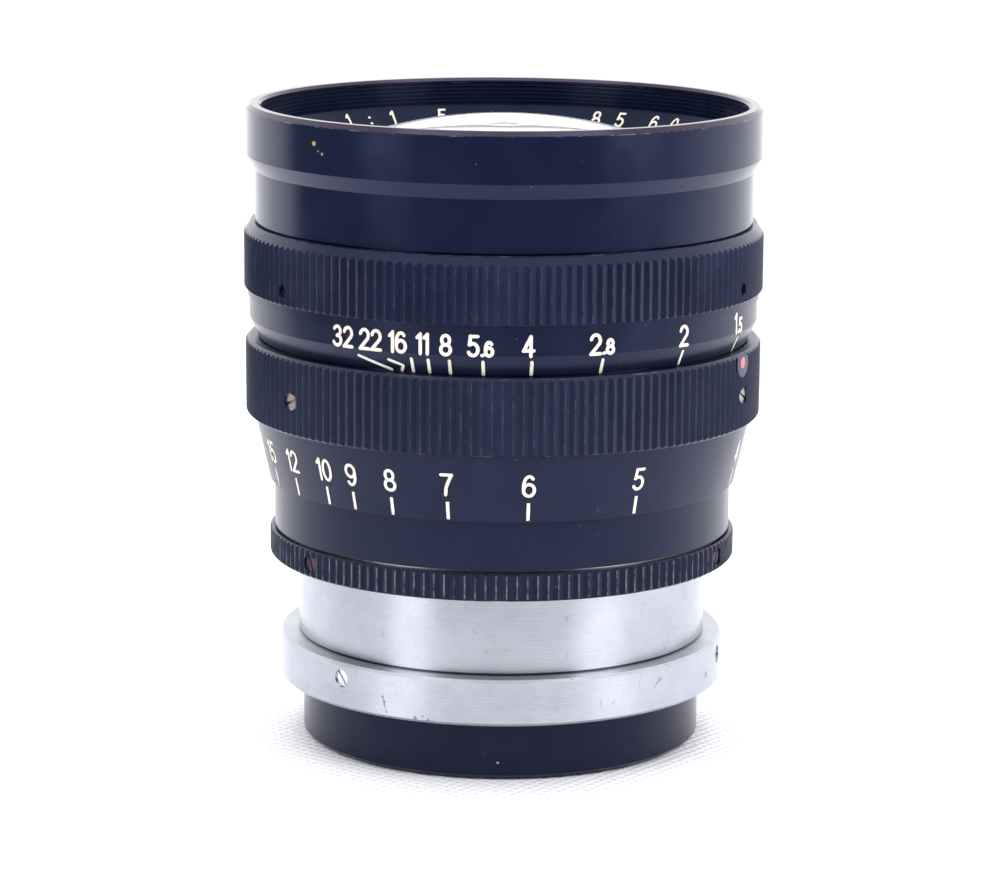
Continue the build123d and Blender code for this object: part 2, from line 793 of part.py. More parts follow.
def build_blade(level):
    """One iris blade with its pivot pin below and its drive pin above."""
    low = first_blade_low + blade_step * level
    reach = math.radians(blade_reach_degrees)
    middle = (iris_open_radius + blade_outer_radius) / 2
    half_width = (blade_outer_radius - iris_open_radius) / 2

    def at(radius, angle):
        return (radius * math.cos(angle), radius * math.sin(angle))

    outer_arc = [at(blade_outer_radius, reach * part) for part in (0, 0.5, 1)]
    inner_arc = [at(iris_open_radius, reach * part) for part in (1, 0.5, 0)]
    far_end = at(middle, reach + half_width / middle)
    near_end = at(middle, -half_width / middle)
    outline = [
        ThreePointArc(*outer_arc),
        ThreePointArc(outer_arc[2], far_end, inner_arc[0]),
        ThreePointArc(*inner_arc),
        ThreePointArc(inner_arc[2], near_end, outer_arc[0]),
    ]
    face = make_face(Curve() + outline)
    pin_x, pin_y = pin_place(0)
    arm_length = math.hypot(pin_x - pivot_radius, pin_y)
    arm = Pos((pivot_radius + pin_x) / 2, pin_y / 2) * Rot(0, 0, math.degrees(arm_angle))
    arm = arm * Rectangle(arm_length, 2 * blade_lobe_radius)
    root = Pos((pivot_radius + middle) / 2, 0) * Rectangle(pivot_radius - middle, 2 * blade_lobe_radius)
    face = face + arm + root
    pivot_lobe = Pos(pivot_radius, 0) * Circle(blade_lobe_radius)
    drive_lobe = Pos(pin_x, pin_y) * Circle(blade_lobe_radius)
    face = face + pivot_lobe + drive_lobe
    plate = Pos(0, 0, low) * extrude(face, amount=blade_thickness)
    pivot_low = rear_flange_high + 0.1
    pivot_length = low - pivot_low + blade_thickness / 2
    pivot = Pos(pivot_radius, 0, pivot_low + pivot_length / 2) * Cylinder(blade_pin_radius, pivot_length)
    drive_high = iris_plate_high - 0.1
    drive_length = drive_high - low - blade_thickness / 2
    drive = Pos(pin_x, pin_y, drive_high - drive_length / 2) * Cylinder(blade_pin_radius, drive_length)
    return Rot(0, 0, 360 / blade_count * level - 90) * (plate + pivot + drive)


# ---------------------------------------------------------------- places that join pieces
mount_screw_height = mount_ring_high - barrel_spigot / 2 - mount_screw_drop
grip_screw_height = barrel_flange_high + grip_screw_rise
focus_screw_height = focus_ring_low + focus_screw_rise
drive_screw_height = knurl_low + drive_screw_rise
guide_pin_height = barrel_flange_high + guide_pin_rise
coupling_high = barrel_flange_high
name_ring_high = lens_high - name_ring_top_drop
front_vertex = lens_high - front_glass_vertex_drop
front_back_vertex = front_vertex - front_glass_thickness
name_ring_seat = surface_height(front_vertex, front_curve, name_ring_inner_radius) + seat_clearance
front_seat_high = name_ring_seat
middle_front_vertex = front_back_vertex - middle_air_gap
middle_back_clear = iris_open_radius - middle_clear_margin
middle_vertices = [middle_front_vertex]
for thickness in middle_thicknesses:
    middle_vertices.append(middle_vertices[-1] - thickness)
middle_back_edge = surface_height(middle_vertices[3], middle_curves[3], middle_back_clear)
middle_cell_low = iris_plate_high + body_gap
drum_high = drive_screw_height + iris_drum_rise
shoulder_low = drum_high + body_gap
middle_flange_low = shoulder_low + shoulder_thickness
middle_flange_high = middle_flange_low + middle_flange_thickness
rear_vertices = [rear_flange_high - rear_glass_sink]
for thickness in rear_thicknesses:
    rear_vertices.append(rear_vertices[-1] - thickness)


def build_set_screws(inner, outer, height, first, first_slot, radius=set_screw_radius):
    """Return one ring's slotted set screws, with their slots at different angles."""
    screws = []
    for k in range(set_screw_count):
        screw = set_screw(radius, inner, outer, height, first_slot + slot_step_degrees * k)
        screws.append(Rot(0, 0, first + 360 / set_screw_count * k) * screw)
    return screws


# ---------------------------------------------------------------- write every node
os.makedirs("parts", exist_ok=True)

saved("mount_barrel", build_mount_barrel())
saved("mount_ring", build_mount_ring())
saved("grip_ring", build_grip_ring())
saved("outer_helicoid", build_outer_helicoid())
saved("index_sleeve", build_index_sleeve())
saved("mount_ring_screws", *build_set_screws(
    barrel_bore + 0.2, mount_ring_radius - 0.25, mount_screw_height, mount_screw_angle,
    mount_slot_angle))
saved("grip_ring_screws", *build_set_screws(
    outer_helicoid_bore + 1.0, grip_ring_radius - 0.35, grip_screw_height, grip_screw_angle,
    grip_slot_angle))

saved("coupling_ring", build_coupling_ring())
saved("coupling_retainer", build_coupling_retainer())
saved("rear_cap", build_rear_cap())

saved("inner_helicoid", build_inner_helicoid())
saved("guide_pins", *build_guide_pins())
saved("focus_ring", build_focus_ring())
saved("focus_ring_screws", *build_set_screws(
    head_tube_bore + 0.3, focus_ring_radius - 0.3, focus_screw_height, focus_screw_angle,
    focus_slot_angle))
saved("index_plug", build_index_plug())
saved("index_dot", build_index_dot())
saved("head_barrel", build_head_barrel())
saved("name_ring", build_name_ring())
saved("front_spacer", build_front_spacer())
saved("middle_cell", build_middle_cell())
saved("middle_retainer", build_middle_retainer())
saved("rear_cell", build_rear_cell())
saved("rear_retainer", build_rear_retainer())
saved("iris_base", build_iris_base())

saved("front_glass", element(
    front_glass_radius, front_vertex, front_curve, front_back_vertex, front_back_curve))
for k in range(3):
    back_clear = middle_back_clear if k == 2 else None
    saved("middle_glass_" + str(k + 1), element(
        middle_glass_radius, middle_vertices[k], middle_curves[k],
        middle_vertices[k + 1], middle_curves[k + 1], back_clear))
    saved("rear_glass_" + str(k + 1), element(
        rear_glass_radius, rear_vertices[k], rear_curves[k],
        rear_vertices[k + 1], rear_curves[k + 1]))

saved("aperture_ring", build_aperture_ring())
saved("iris_drum", build_iris_drum())
saved("aperture_drive_screws", *build_set_screws(
    drum_bore + 0.1, aperture_ring_radius - 0.45, drive_screw_height, drive_screw_angle,
    drive_slot_angle, drive_screw_radius))
for level in range(blade_count):
    saved("iris_blade_" + str(level + 1), build_blade(level))
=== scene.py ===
"""Looks of a fast short-telephoto lens that stands front up on its rear cap.

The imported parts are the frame. This script gives every part a finish of its own, adds the
painted scales, the name ring numerals and the wear, and sets a plain pale studio round it.
Angles run from -Y, where the camera stands, towards +X. Sizes are millimetres unless a
name or comment says metres.
"""
import logging
import math
from dataclasses import dataclass, field
from enum import Enum

import bpy
from mathutils import Matrix, Vector


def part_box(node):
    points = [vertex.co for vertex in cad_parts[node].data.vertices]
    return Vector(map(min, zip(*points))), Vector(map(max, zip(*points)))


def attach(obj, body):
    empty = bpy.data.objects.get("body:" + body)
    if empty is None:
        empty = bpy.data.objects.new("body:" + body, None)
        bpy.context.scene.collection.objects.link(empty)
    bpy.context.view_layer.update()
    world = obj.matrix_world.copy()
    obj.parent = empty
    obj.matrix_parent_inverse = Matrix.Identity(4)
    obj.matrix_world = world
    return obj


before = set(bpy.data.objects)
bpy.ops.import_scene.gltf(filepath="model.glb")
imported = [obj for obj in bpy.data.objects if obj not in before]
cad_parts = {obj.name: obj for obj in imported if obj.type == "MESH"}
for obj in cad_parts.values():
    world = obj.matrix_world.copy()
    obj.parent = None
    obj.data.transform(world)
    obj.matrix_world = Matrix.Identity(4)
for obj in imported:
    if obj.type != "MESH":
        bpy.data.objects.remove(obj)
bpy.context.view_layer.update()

MM = 0.001

# engraved lines, in millimetres
APART = 40.0
LINE_STEP = 0.4
CLOSED_WITHIN = 0.01
# the painted shade round a line, standing in for the shadow in its cut, is this much wider on each
# side
CUT_SHADE_WIDTH = 0.055

# their proportions
SLIM_SHARE = 0.82
AFTER_POINT_SHARE = 0.7
POINT_GAP_SHARE = 0.75
# the painted shade round a line rises this share of the paint's height
CUT_SHADE_RISE_SHARE = 0.45

# a turn this sharp parts two strokes, and a line ends in steps of reach and width
SHARP = math.radians(50)
ROUND_END = [(math.sin(math.radians(a)), math.cos(math.radians(a))) for a in (30, 55, 75, 88)]

# vertices closer than this, in metres, are one
WELD = 0.0000005

# settings of a Mix node that mixes colours
MIX_COLOURS = {"out": 2, "data_type": "RGBA"}

# sizes of the marks in a finish, in millimetres
CLOUD = 5.0
SCUFF = 4.0
SCUFF_PATCH = 2.0
DUST_CELL = 1.6
BREAK = 1.3
TARNISH = 6.0
GRAIN = 0.25
SCRATCH = 3.2
SCRATCH_PATCH = 2.2
HAZE = 8.0
SOIL = 0.6

logging.basicConfig(level=logging.INFO, format="%(message)s")
log = logging.getLogger("lens")

Point = tuple[float, float]
Stroke = list[Point]
Place = tuple[float, float, float]


# ---------------------------------------------------------------- small tools
def linear(code: str) -> tuple[float, float, float, float]:
    """Turn an sRGB hex value into the linear colour a shader socket takes.

    Args:
        code: six hex digits after a hash sign.

    Returns:
        Linear red, green, blue and a full alpha.
    """
    parts = [int(code[i : i + 2], 16) / 255 for i in (1, 3, 5)]
    red, green, blue = [p / 12.92 if p <= 0.04045 else ((p + 0.055) / 1.055) ** 2.4 for p in parts]
    return (red, green, blue, 1.0)


def per_mm(size: float) -> float:
    """Return the texture scale whose features are about one size, in millimetres, apart."""
    return 1 / (size * MM)


def add(tree, kind: str, links: dict | None = None, out: int | str = 0, **settings):
    """Add a node with its settings and its inputs.

    Inputs that share a name are given by number: the two colours of a Mix node are 6 and
    7, and the limits of a Map Range node are 1 and 2 for what comes in, 3 and 4 for what
    goes out.

    Args:
        tree: the node tree that it goes in.
        kind: the node's type.
        links: input name or number, and the socket or value that it takes.
        out: which output to hand back.
        settings: properties of the node.

    Returns:
        The chosen output socket, or the node itself where it has no output.
    """
    made = tree.nodes.new(kind)
    for name, value in settings.items():
        setattr(made, name, value)
    for key, value in (links or {}).items():
        if isinstance(value, bpy.types.NodeSocket):
            tree.links.new(value, made.inputs[key])
        else:
            made.inputs[key].default_value = value
    return made.outputs[out] if len(made.outputs) else made


def blank(name: str):
    """Return a new material with an empty node tree."""
    material = bpy.data.materials.new(name)
    material.use_nodes = True
    material.node_tree.nodes.clear()
    return material


def deselect() -> None:
    """Leave nothing selected, so that the next operator acts on its own piece."""
    bpy.ops.object.select_all(action="DESELECT")


def make_active(piece) -> None:
    """Select one piece and make it the active one."""
    deselect()
    piece.select_set(True)
    bpy.context.view_layer.objects.active = piece


# ---------------------------------------------------------------- finishes
@dataclass(frozen=True)
class Chip:
    """A bare or soiled spot on a turned surface: angle in degrees, the rest in millimetres."""

    angle: float
    height: float
    reach: float
    radius: float

    def spot(self) -> Place:
        """Return the middle of the spot, in metres."""
        turn = math.radians(self.angle)
        across, back = math.sin(turn), -math.cos(turn)
        return tuple(Vector((self.radius * across, self.radius * back, self.height)) * MM)


@dataclass(frozen=True)
class Enamel:
    """Black enamel sprayed on brass and stoved; the moulded cap has the same kind of gloss."""

    name: str
    base: str
    second: str
    roughness: float
    worn: str = "#8d8780"
    crest: float = 0.0
    crest_wear: float = 0.0
    edges: tuple[float, ...] = ()
    edge_reach: float = 0.22
    lip: tuple[float, float] = (0.0, 0.0)
    lip_tint: str = "#4a3947"
    chips: tuple[Chip, ...] = ()
    chip_colour: str = "#b08a4e"
    peel: float = 0.35
    level: float = 0.4
    sheen: str = "#b7bcec"

    def make(self):
        """Build the enamel: mottled colour, hairline scuffs, dust and wear down to the metal.

        Returns:
            The material.
        """
        material = blank(self.name)
        tree = material.node_tree
        place = add(tree, "ShaderNodeTexCoord", out="Object")
        axes = add(tree, "ShaderNodeSeparateXYZ", {0: place}).node
        height = add(tree, "ShaderNodeMath", {0: axes.outputs[2], 1: 1 / MM}, operation="MULTIPLY")
        flat = add(tree, "ShaderNodeCombineXYZ", {0: axes.outputs[0], 1: axes.outputs[1]})
        reach = add(tree, "ShaderNodeVectorMath", {0: flat}, out=1, operation="LENGTH")
        radius = add(tree, "ShaderNodeMath", {0: reach, 1: 1 / MM}, operation="MULTIPLY")

        # handling leaves the gloss slightly cloudy over patches about 5 mm across
        cloud = add(
            tree, "ShaderNodeTexNoise", {"Vector": place, "Scale": per_mm(CLOUD), "Detail": 1.0}
        )
        clouded = add(tree, "ShaderNodeMapRange", {0: cloud, 1: 0.25, 2: 0.75})
        colour = add(
            tree,
            "ShaderNodeMix",
            {0: clouded, 6: linear(self.base), 7: linear(self.second)},
            **MIX_COLOURS,
        )

        # hairline scuffs: thin level lines of a noise, kept to a few patches
        line = add(
            tree, "ShaderNodeTexNoise", {
                "Vector": place, "Scale": per_mm(SCUFF), "Detail": 2.0, "Distortion": 1.6
            }
        )
        off = add(tree, "ShaderNodeMath", {0: line, 1: 0.5}, operation="SUBTRACT")
        near = add(tree, "ShaderNodeMath", {0: off}, operation="ABSOLUTE")
        thin = add(tree, "ShaderNodeMapRange", {0: near, 1: 0.0, 2: 0.004, 3: 1.0, 4: 0.0})
        patch = add(
            tree,
            "ShaderNodeTexNoise",
            {"Vector": place, "Scale": per_mm(SCUFF_PATCH), "Detail": 1.0},
        )
        patched = add(tree, "ShaderNodeMapRange", {0: patch, 1: 0.66, 2: 0.74})
        scuff = add(tree, "ShaderNodeMath", {0: thin, 1: patched}, operation="MULTIPLY")
        scuff = add(tree, "ShaderNodeMath", {0: scuff, 1: 0.35}, operation="MULTIPLY")
        colour = add(
            tree, "ShaderNodeMix", {0: scuff, 6: colour, 7: linear("#6c707c")}, **MIX_COLOURS
        )

        # dust: one small spot in a few of the cells of a 1.6 mm grid
        cells = add(
            tree, "ShaderNodeTexVoronoi", {"Vector": place, "Scale": per_mm(DUST_CELL)}
        ).node
        spot = add(
            tree,
            "ShaderNodeMapRange",
            {0: cells.outputs["Distance"], 1: 0.03, 2: 0.06, 3: 1.0, 4: 0.0},
        )
        lot = add(tree, "ShaderNodeSeparateXYZ", {0: cells.outputs["Color"]})
        drawn = add(tree, "ShaderNodeMath", {0: lot, 1: 0.92}, operation="GREATER_THAN")
        dust = add(tree, "ShaderNodeMath", {0: spot, 1: drawn}, operation="MULTIPLY")
        dust = add(tree, "ShaderNodeMath", {0: dust, 1: 0.5}, operation="MULTIPLY")
        colour = add(
            tree, "ShaderNodeMix", {0: dust, 6: colour, 7: linear("#8b8f9a")}, **MIX_COLOURS
        )

        # the lip that a filter is screwed past is rubbed brown
        if self.lip[1] > self.lip[0]:
            lip = add(tree, "ShaderNodeMapRange", {0: height, 1: self.lip[0], 2: self.lip[1]})
            lip = add(tree, "ShaderNodeMath", {0: lip, 1: 0.8}, operation="MULTIPLY")
            colour = add(
                tree, "ShaderNodeMix", {0: lip, 6: colour, 7: linear(self.lip_tint)}, **MIX_COLOURS
            )

        # wear: broken along sharp edges, and down both flanks of every knurl tooth
        broken = add(
            tree, "ShaderNodeTexNoise", {
                "Vector": place, "Scale": per_mm(BREAK), "Detail": 3.0, "Roughness": 0.65
            }
        )
        wear = None
        for edge in self.edges:
            away = add(tree, "ShaderNodeMath", {0: height, 1: edge}, operation="SUBTRACT")
            away = add(tree, "ShaderNodeMath", {0: away}, operation="ABSOLUTE")
            band = add(
                tree, "ShaderNodeMapRange", {0: away, 1: 0.0, 2: self.edge_reach, 3: 1.0, 4: 0.0}
            )
            mask = add(tree, "ShaderNodeMath", {0: band, 1: broken}, operation="MULTIPLY")
            mask = add(
                tree, "ShaderNodeMath", {0: cloud, 1: 0.5, 2: mask}, operation="MULTIPLY_ADD"
            )
            mask = add(tree, "ShaderNodeMapRange", {0: mask, 1: 0.7, 2: 0.86, 4: 0.7})
            wear = mask if wear is None else add(
                tree, "ShaderNodeMath", {0: wear, 1: mask}, operation="MAXIMUM"
            )
        if self.crest:
            rise = add(
                tree, "ShaderNodeMapRange", {0: radius, 1: self.crest - 0.05, 2: self.crest - 0.018}
            )
            fall = add(
                tree, "ShaderNodeMapRange", {
                    0: radius, 1: self.crest - 0.016, 2: self.crest - 0.008, 3: 1.0, 4: 0.35
                }
            )
            side = add(tree, "ShaderNodeMath", {0: rise, 1: fall}, operation="MULTIPLY")
            along = add(tree, "ShaderNodeMapRange", {0: broken, 1: 0.36, 2: 0.66})
            mask = add(tree, "ShaderNodeMath", {0: side, 1: along}, operation="MULTIPLY")
            mask = add(tree, "ShaderNodeMath", {0: mask, 1: self.crest_wear}, operation="MULTIPLY")
            wear = mask if wear is None else add(
                tree, "ShaderNodeMath", {0: wear, 1: mask}, operation="MAXIMUM"
            )
        if wear is not None:
            colour = add(
                tree, "ShaderNodeMix", {0: wear, 6: colour, 7: linear(self.worn)}, **MIX_COLOURS
            )

        # chips through to the brass, with a ragged outline
        for chip in self.chips:
            gap = add(
                tree,
                "ShaderNodeVectorMath",
                {0: place, 1: chip.spot()},
                out=1,
                operation="DISTANCE",
            )
            ragged = add(
                tree,
                "ShaderNodeMath",
                {0: broken, 1: chip.reach * MM * 2.4, 2: gap},
                operation="MULTIPLY_ADD",
            )
            full = chip.reach * MM
            mask = add(
                tree,
                "ShaderNodeMapRange",
                {0: ragged, 1: full * 1.75, 2: full * 2.0, 3: 1.0, 4: 0.0},
            )
            colour = add(
                tree,
                "ShaderNodeMix",
                {0: mask, 6: colour, 7: linear(self.chip_colour)},
                **MIX_COLOURS,
            )

        # sprayed enamel has a faint orange peel, and it is duller where it is handled
        peel = add(
            tree, "ShaderNodeTexNoise", {"Vector": place, "Scale": per_mm(self.peel), "Detail": 1.0}
        )
        bump = add(
            tree, "ShaderNodeBump", {"Strength": 0.05, "Distance": 0.01 * MM, "Height": peel}
        )
        rough = add(
            tree, "ShaderNodeMapRange", {
                0: cloud, 1: 0.25, 2: 0.75, 3: self.roughness - 0.02, 4: self.roughness + 0.03
            }
        )
        surface = add(
            tree,
            "ShaderNodeBsdfPrincipled",
            {
                "Base Color": colour,
                "Roughness": rough,
                "IOR": 1.5,
                "Specular IOR Level": self.level,
                "Specular Tint": linear(self.sheen),
                "Normal": bump,
            },
        )
        add(tree, "ShaderNodeOutputMaterial", {"Surface": surface})
        return material


@dataclass(frozen=True)
class TurnedMetal:
    """Bare or plated metal turned on a lathe, with its tool lines round the axis."""

    name: str
    base: str
    shade: str
    roughness: float
    line: float = 0.12
    anisotropy: float = 0.5
    scratches: float = 0.0
    grime: str = "#4b4f57"
    marks: tuple[Chip, ...] = ()
    # painted shade: heights of a dark line where a ring seats, and its colour
    seam_shade: tuple[float, float] = (0.0, 0.0)
    seam_shade_tint: str = "#1a2036"
    shoulder: float = 0.0

    def make(self):
        """Build the metal: tool lines, cloudy tarnish, scratches, a few dark dings and a painted
        shade line where a ring seats.

        Returns:
            The material.
        """
        material = blank(self.name)
        tree = material.node_tree
        place = add(tree, "ShaderNodeTexCoord", out="Object")
        axes = add(tree, "ShaderNodeSeparateXYZ", {0: place}).node

        # tarnish lies in soft clouds about 6 mm across
        cloud = add(
            tree, "ShaderNodeTexNoise", {
                "Vector": place, "Scale": per_mm(TARNISH), "Detail": 5.0, "Roughness": 0.6
            }
        )
        clouded = add(tree, "ShaderNodeMapRange", {0: cloud, 1: 0.38, 2: 0.66})
        colour = add(
            tree,
            "ShaderNodeMix",
            {0: clouded, 6: linear(self.base), 7: linear(self.shade)},
            **MIX_COLOURS,
        )

        # tool lines follow the turning, so they change with height only, and they draw
        # every highlight out into an upright band
        lines = add(
            tree,
            "ShaderNodeTexNoise",
            {"W": axes.outputs[2], "Scale": per_mm(self.line), "Detail": 3.0, "Roughness": 0.7},
            noise_dimensions="1D",
        )
        fine = add(
            tree, "ShaderNodeTexNoise", {"Vector": place, "Scale": per_mm(GRAIN), "Detail": 2.0}
        )
        rough = add(
            tree, "ShaderNodeMapRange", {
                0: lines, 1: 0.3, 2: 0.7, 3: self.roughness - 0.05, 4: self.roughness + 0.05
            }
        )
        level = add(tree, "ShaderNodeMath", {0: fine, 1: 0.4, 2: lines}, operation="MULTIPLY_ADD")

        if self.scratches:
            # scratches: level lines of a stretched noise, a few to a patch
            long = add(tree, "ShaderNodeMapping", {"Vector": place, "Scale": (1.0, 1.0, 0.35)})
            line = add(
                tree, "ShaderNodeTexNoise", {
                    "Vector": long, "Scale": per_mm(SCRATCH), "Detail": 1.0, "Distortion": 0.8
                }
            )
            off = add(tree, "ShaderNodeMath", {0: line, 1: 0.5}, operation="SUBTRACT")
            near = add(tree, "ShaderNodeMath", {0: off}, operation="ABSOLUTE")
            thin = add(tree, "ShaderNodeMapRange", {0: near, 1: 0.0, 2: 0.006, 3: 1.0, 4: 0.0})
            patch = add(
                tree,
                "ShaderNodeTexNoise",
                {"Vector": place, "Scale": per_mm(SCRATCH_PATCH), "Detail": 1.0},
            )
            patched = add(tree, "ShaderNodeMapRange", {0: patch, 1: 0.58, 2: 0.64})
            cut = add(tree, "ShaderNodeMath", {0: thin, 1: patched}, operation="MULTIPLY")
            cut = add(tree, "ShaderNodeMath", {0: cut, 1: self.scratches}, operation="MULTIPLY")
            colour = add(
                tree, "ShaderNodeMix", {0: cut, 6: colour, 7: linear(self.grime)}, **MIX_COLOURS
            )

        height = add(tree, "ShaderNodeMath", {0: axes.outputs[2], 1: 1 / MM}, operation="MULTIPLY")
        if self.seam_shade[1] > self.seam_shade[0]:
            # painted shade: the corner where a ring seats is darkened to a thin dark line, standing
            # in for the shadow in the gap
            shaded_seam = add(
                tree, "ShaderNodeMapRange", {
                    0: height, 1: self.seam_shade[0], 2: self.seam_shade[1], 3: 0.92, 4: 0.0
                }
            )
            colour = add(
                tree,
                "ShaderNodeMix",
                {0: shaded_seam, 6: colour, 7: linear(self.seam_shade_tint)},
                **MIX_COLOURS,
            )
        if self.shoulder:
            # the flat shoulder was never buffed, so it is duller than the side
            dull = add(
                tree, "ShaderNodeMapRange", {
                    0: height, 1: self.shoulder - 0.1, 2: self.shoulder - 0.02, 4: 0.12
                }
            )
            rough = add(tree, "ShaderNodeMath", {0: rough, 1: dull}, operation="ADD")

        for mark in self.marks:
            gap = add(
                tree,
                "ShaderNodeVectorMath",
                {0: place, 1: mark.spot()},
                out=1,
                operation="DISTANCE",
            )
            ragged = add(
                tree,
                "ShaderNodeMath",
                {0: fine, 1: mark.reach * MM * 2.6, 2: gap},
                operation="MULTIPLY_ADD",
            )
            full = mark.reach * MM
            mask = add(
                tree,
                "ShaderNodeMapRange",
                {0: ragged, 1: full * 1.6, 2: full * 2.1, 3: 0.8, 4: 0.0},
            )
            colour = add(
                tree, "ShaderNodeMix", {0: mask, 6: colour, 7: linear(self.grime)}, **MIX_COLOURS
            )

        bump = add(
            tree, "ShaderNodeBump", {"Strength": 0.1, "Distance": 0.01 * MM, "Height": level}
        )
        round_axis = add(tree, "ShaderNodeTangent", direction_type="RADIAL", axis="Z")
        surface = add(
            tree,
            "ShaderNodeBsdfPrincipled",
            {
                "Base Color": colour,
                "Metallic": 1.0,
                "Roughness": rough,
                "Anisotropic": self.anisotropy,
                "Anisotropic Rotation": 0.25,
                "Tangent": round_axis,
                "Normal": bump,
            },
        )
        add(tree, "ShaderNodeOutputMaterial", {"Surface": surface})
        return material


@dataclass(frozen=True)
class CoatedGlass:
    """Polished optical glass with a single evaporated coating."""

    name: str
    tint: str
    index: float

    def make(self):
        """Build the glass: clear, with a faint film colour and the odd cleaning mark.

        Returns:
            The material.
        """
        material = blank(self.name)
        tree = material.node_tree
        place = add(tree, "ShaderNodeTexCoord", out="Object")
        haze = add(
            tree, "ShaderNodeTexNoise", {"Vector": place, "Scale": per_mm(HAZE), "Detail": 3.0}
        )
        rough = add(tree, "ShaderNodeMapRange", {0: haze, 1: 0.4, 2: 0.8, 3: 0.0, 4: 0.03})
        surface = add(
            tree,
            "ShaderNodeBsdfPrincipled",
            {
                "Base Color": linear(self.tint),
                "Roughness": rough,
                "IOR": self.index,
                "Transmission Weight": 1.0,
                "Thin Film Thickness": 120.0,
                "Thin Film IOR": 1.38,
            },
        )
        add(tree, "ShaderNodeOutputMaterial", {"Surface": surface})
        return material


@dataclass(frozen=True)
class FillPaint:
    """Thick paint wiped into an engraved line, and slightly soiled since."""

    name: str
    base: str
    soil: str
    roughness: float = 0.55

    def make(self):
        """Build the paint: chalky, with soil that gathers in spots about 0.6 mm across.

        Returns:
            The material.
        """
        material = blank(self.name)
        tree = material.node_tree
        place = add(tree, "ShaderNodeTexCoord", out="Object")
        spots = add(
            tree, "ShaderNodeTexNoise", {
                "Vector": place, "Scale": per_mm(SOIL), "Detail": 4.0, "Roughness": 0.7
            }
        )
        soiled = add(tree, "ShaderNodeMapRange", {0: spots, 1: 0.52, 2: 0.78, 3: 0.0, 4: 0.75})
        colour = add(
            tree,
            "ShaderNodeMix",
            {0: soiled, 6: linear(self.base), 7: linear(self.soil)},
            **MIX_COLOURS,
        )
        bump = add(
            tree, "ShaderNodeBump", {"Strength": 0.3, "Distance": 0.02 * MM, "Height": spots}
        )
        surface = add(
            tree,
            "ShaderNodeBsdfPrincipled",
            {"Base Color": colour, "Roughness": self.roughness, "IOR": 1.48, "Normal": bump},
        )
        add(tree, "ShaderNodeOutputMaterial", {"Surface": surface})
        return material


@dataclass(frozen=True)
class WovenPaper:
    """Pale embossed sweep with a fine grid of dimples."""

    name: str = "embossed_white_sweep"
    base: str = "#f4f3f7"
    pitch: float = 1.15

    def make(self):
        """Build the sweep: near white, with dimples one pitch apart, each darkened in colour as
        painted shade.

        Returns:
            The material.
        """
        material = blank(self.name)
        tree = material.node_tree
        place = add(tree, "ShaderNodeTexCoord", out="Object")
        turned = add(
            tree, "ShaderNodeMapping", {"Vector": place, "Rotation": (0.0, 0.0, math.radians(38))}
        )
        dots = add(
            tree,
            "ShaderNodeTexVoronoi",
            {"Vector": turned, "Scale": per_mm(self.pitch), "Randomness": 0.12},
        )
        dimple_and_shade = add(tree, "ShaderNodeMapRange", {0: dots, 1: 0.1, 2: 0.55})
        # painted shade: the colour darkens into each dimple, besides the bump
        colour = add(
            tree,
            "ShaderNodeMix",
            {0: dimple_and_shade, 6: linear("#dedde6"), 7: linear(self.base)},
            **MIX_COLOURS,
        )
        bump = add(tree, "ShaderNodeBump", {"Strength": 0.5, "Distance": 0.2 * MM, "Height": dimple_and_shade})
        surface = add(
            tree, "ShaderNodeBsdfPrincipled", {
                "Base Color": colour, "Roughness": 0.8, "IOR": 1.45, "Normal": bump
            }
        )
        add(tree, "ShaderNodeOutputMaterial", {"Surface": surface})
        return material


# ---------------------------------------------------------------- engraved figures
def bend(across: float, up: float, wide: float, tall: float, start: float, stop: float) -> Stroke:
    """Return points along part of an ellipse.

    Args:
        across: the middle's place along the line.
        up: the middle's height.
        wide: half width.
        tall: half height.
        start: first angle in degrees, from the right, turning left over the top.
        stop: last angle in degrees.

    Returns:
        The points, about one for every 20 degrees.
    """
    steps = max(2, round(abs(stop - start) / 20))
    turns = [math.radians(start + (stop - start) * i / steps) for i in range(steps + 1)]
    return [(across + wide * math.cos(t), up + tall * math.sin(t)) for t in turns]


def figure_strokes() -> dict[str, tuple[float, list[Stroke]]]:
    """Return each figure's width and single-line strokes, for a height of one."""
    six = bend(0.31, 0.52, 0.31, 0.48, 48, 180) + bend(0.31, 0.3, 0.31, 0.3, 180, 540)
    nine = [(0.62 - x, 1 - y) for x, y in six]
    knot = [
        (0.5 + 0.5 * math.cos(t), 0.4 + 0.27 * math.sin(2 * t)) for t in (
            math.radians(15 * i) for i in range(25)
        )
    ]
    return {
        "0": (0.60, [bend(0.30, 0.5, 0.30, 0.5, 0, 360)]),
        "1": (0.22, [[(0.0, 0.82), (0.2, 1.0), (0.2, 0.0)]]),
        "2": (0.62, [bend(0.31, 0.7, 0.30, 0.3, 165, -35) + [(0.0, 0.0), (0.62, 0.0)]]),
        "3": (
            0.60, [bend(0.28, 0.75, 0.26, 0.25, 150, -90) + bend(0.28, 0.27, 0.31, 0.27, 80, -155)]
        ),
        "4": (0.62, [[(0.45, 0.0), (0.45, 1.0), (0.0, 0.27), (0.62, 0.27)]]),
        "5": (
            0.60,
            [[(0.56, 1.0), (0.12, 1.0), (0.06, 0.56)] + bend(0.28, 0.31, 0.31, 0.31, 125, -150)],
        ),
        "6": (0.62, [six]),
        "7": (0.60, [[(0.0, 1.0), (0.60, 1.0), (0.38, 0.62), (0.26, 0.34), (0.22, 0.0)]]),
        "8": (
            0.62, [bend(0.31, 0.75, 0.25, 0.25, -90, 270), bend(0.31, 0.26, 0.31, 0.26, 90, 450)]
        ),
        "9": (0.62, [nine]),
        ".": (0.06, [[(0.02, 0.02), (0.04, 0.02)]]),
        ":": (0.06, [[(0.02, 0.2), (0.04, 0.2)], [(0.02, 0.66), (0.04, 0.66)]]),
        "~": (1.0, [knot]),
    }


FIGURES = figure_strokes()


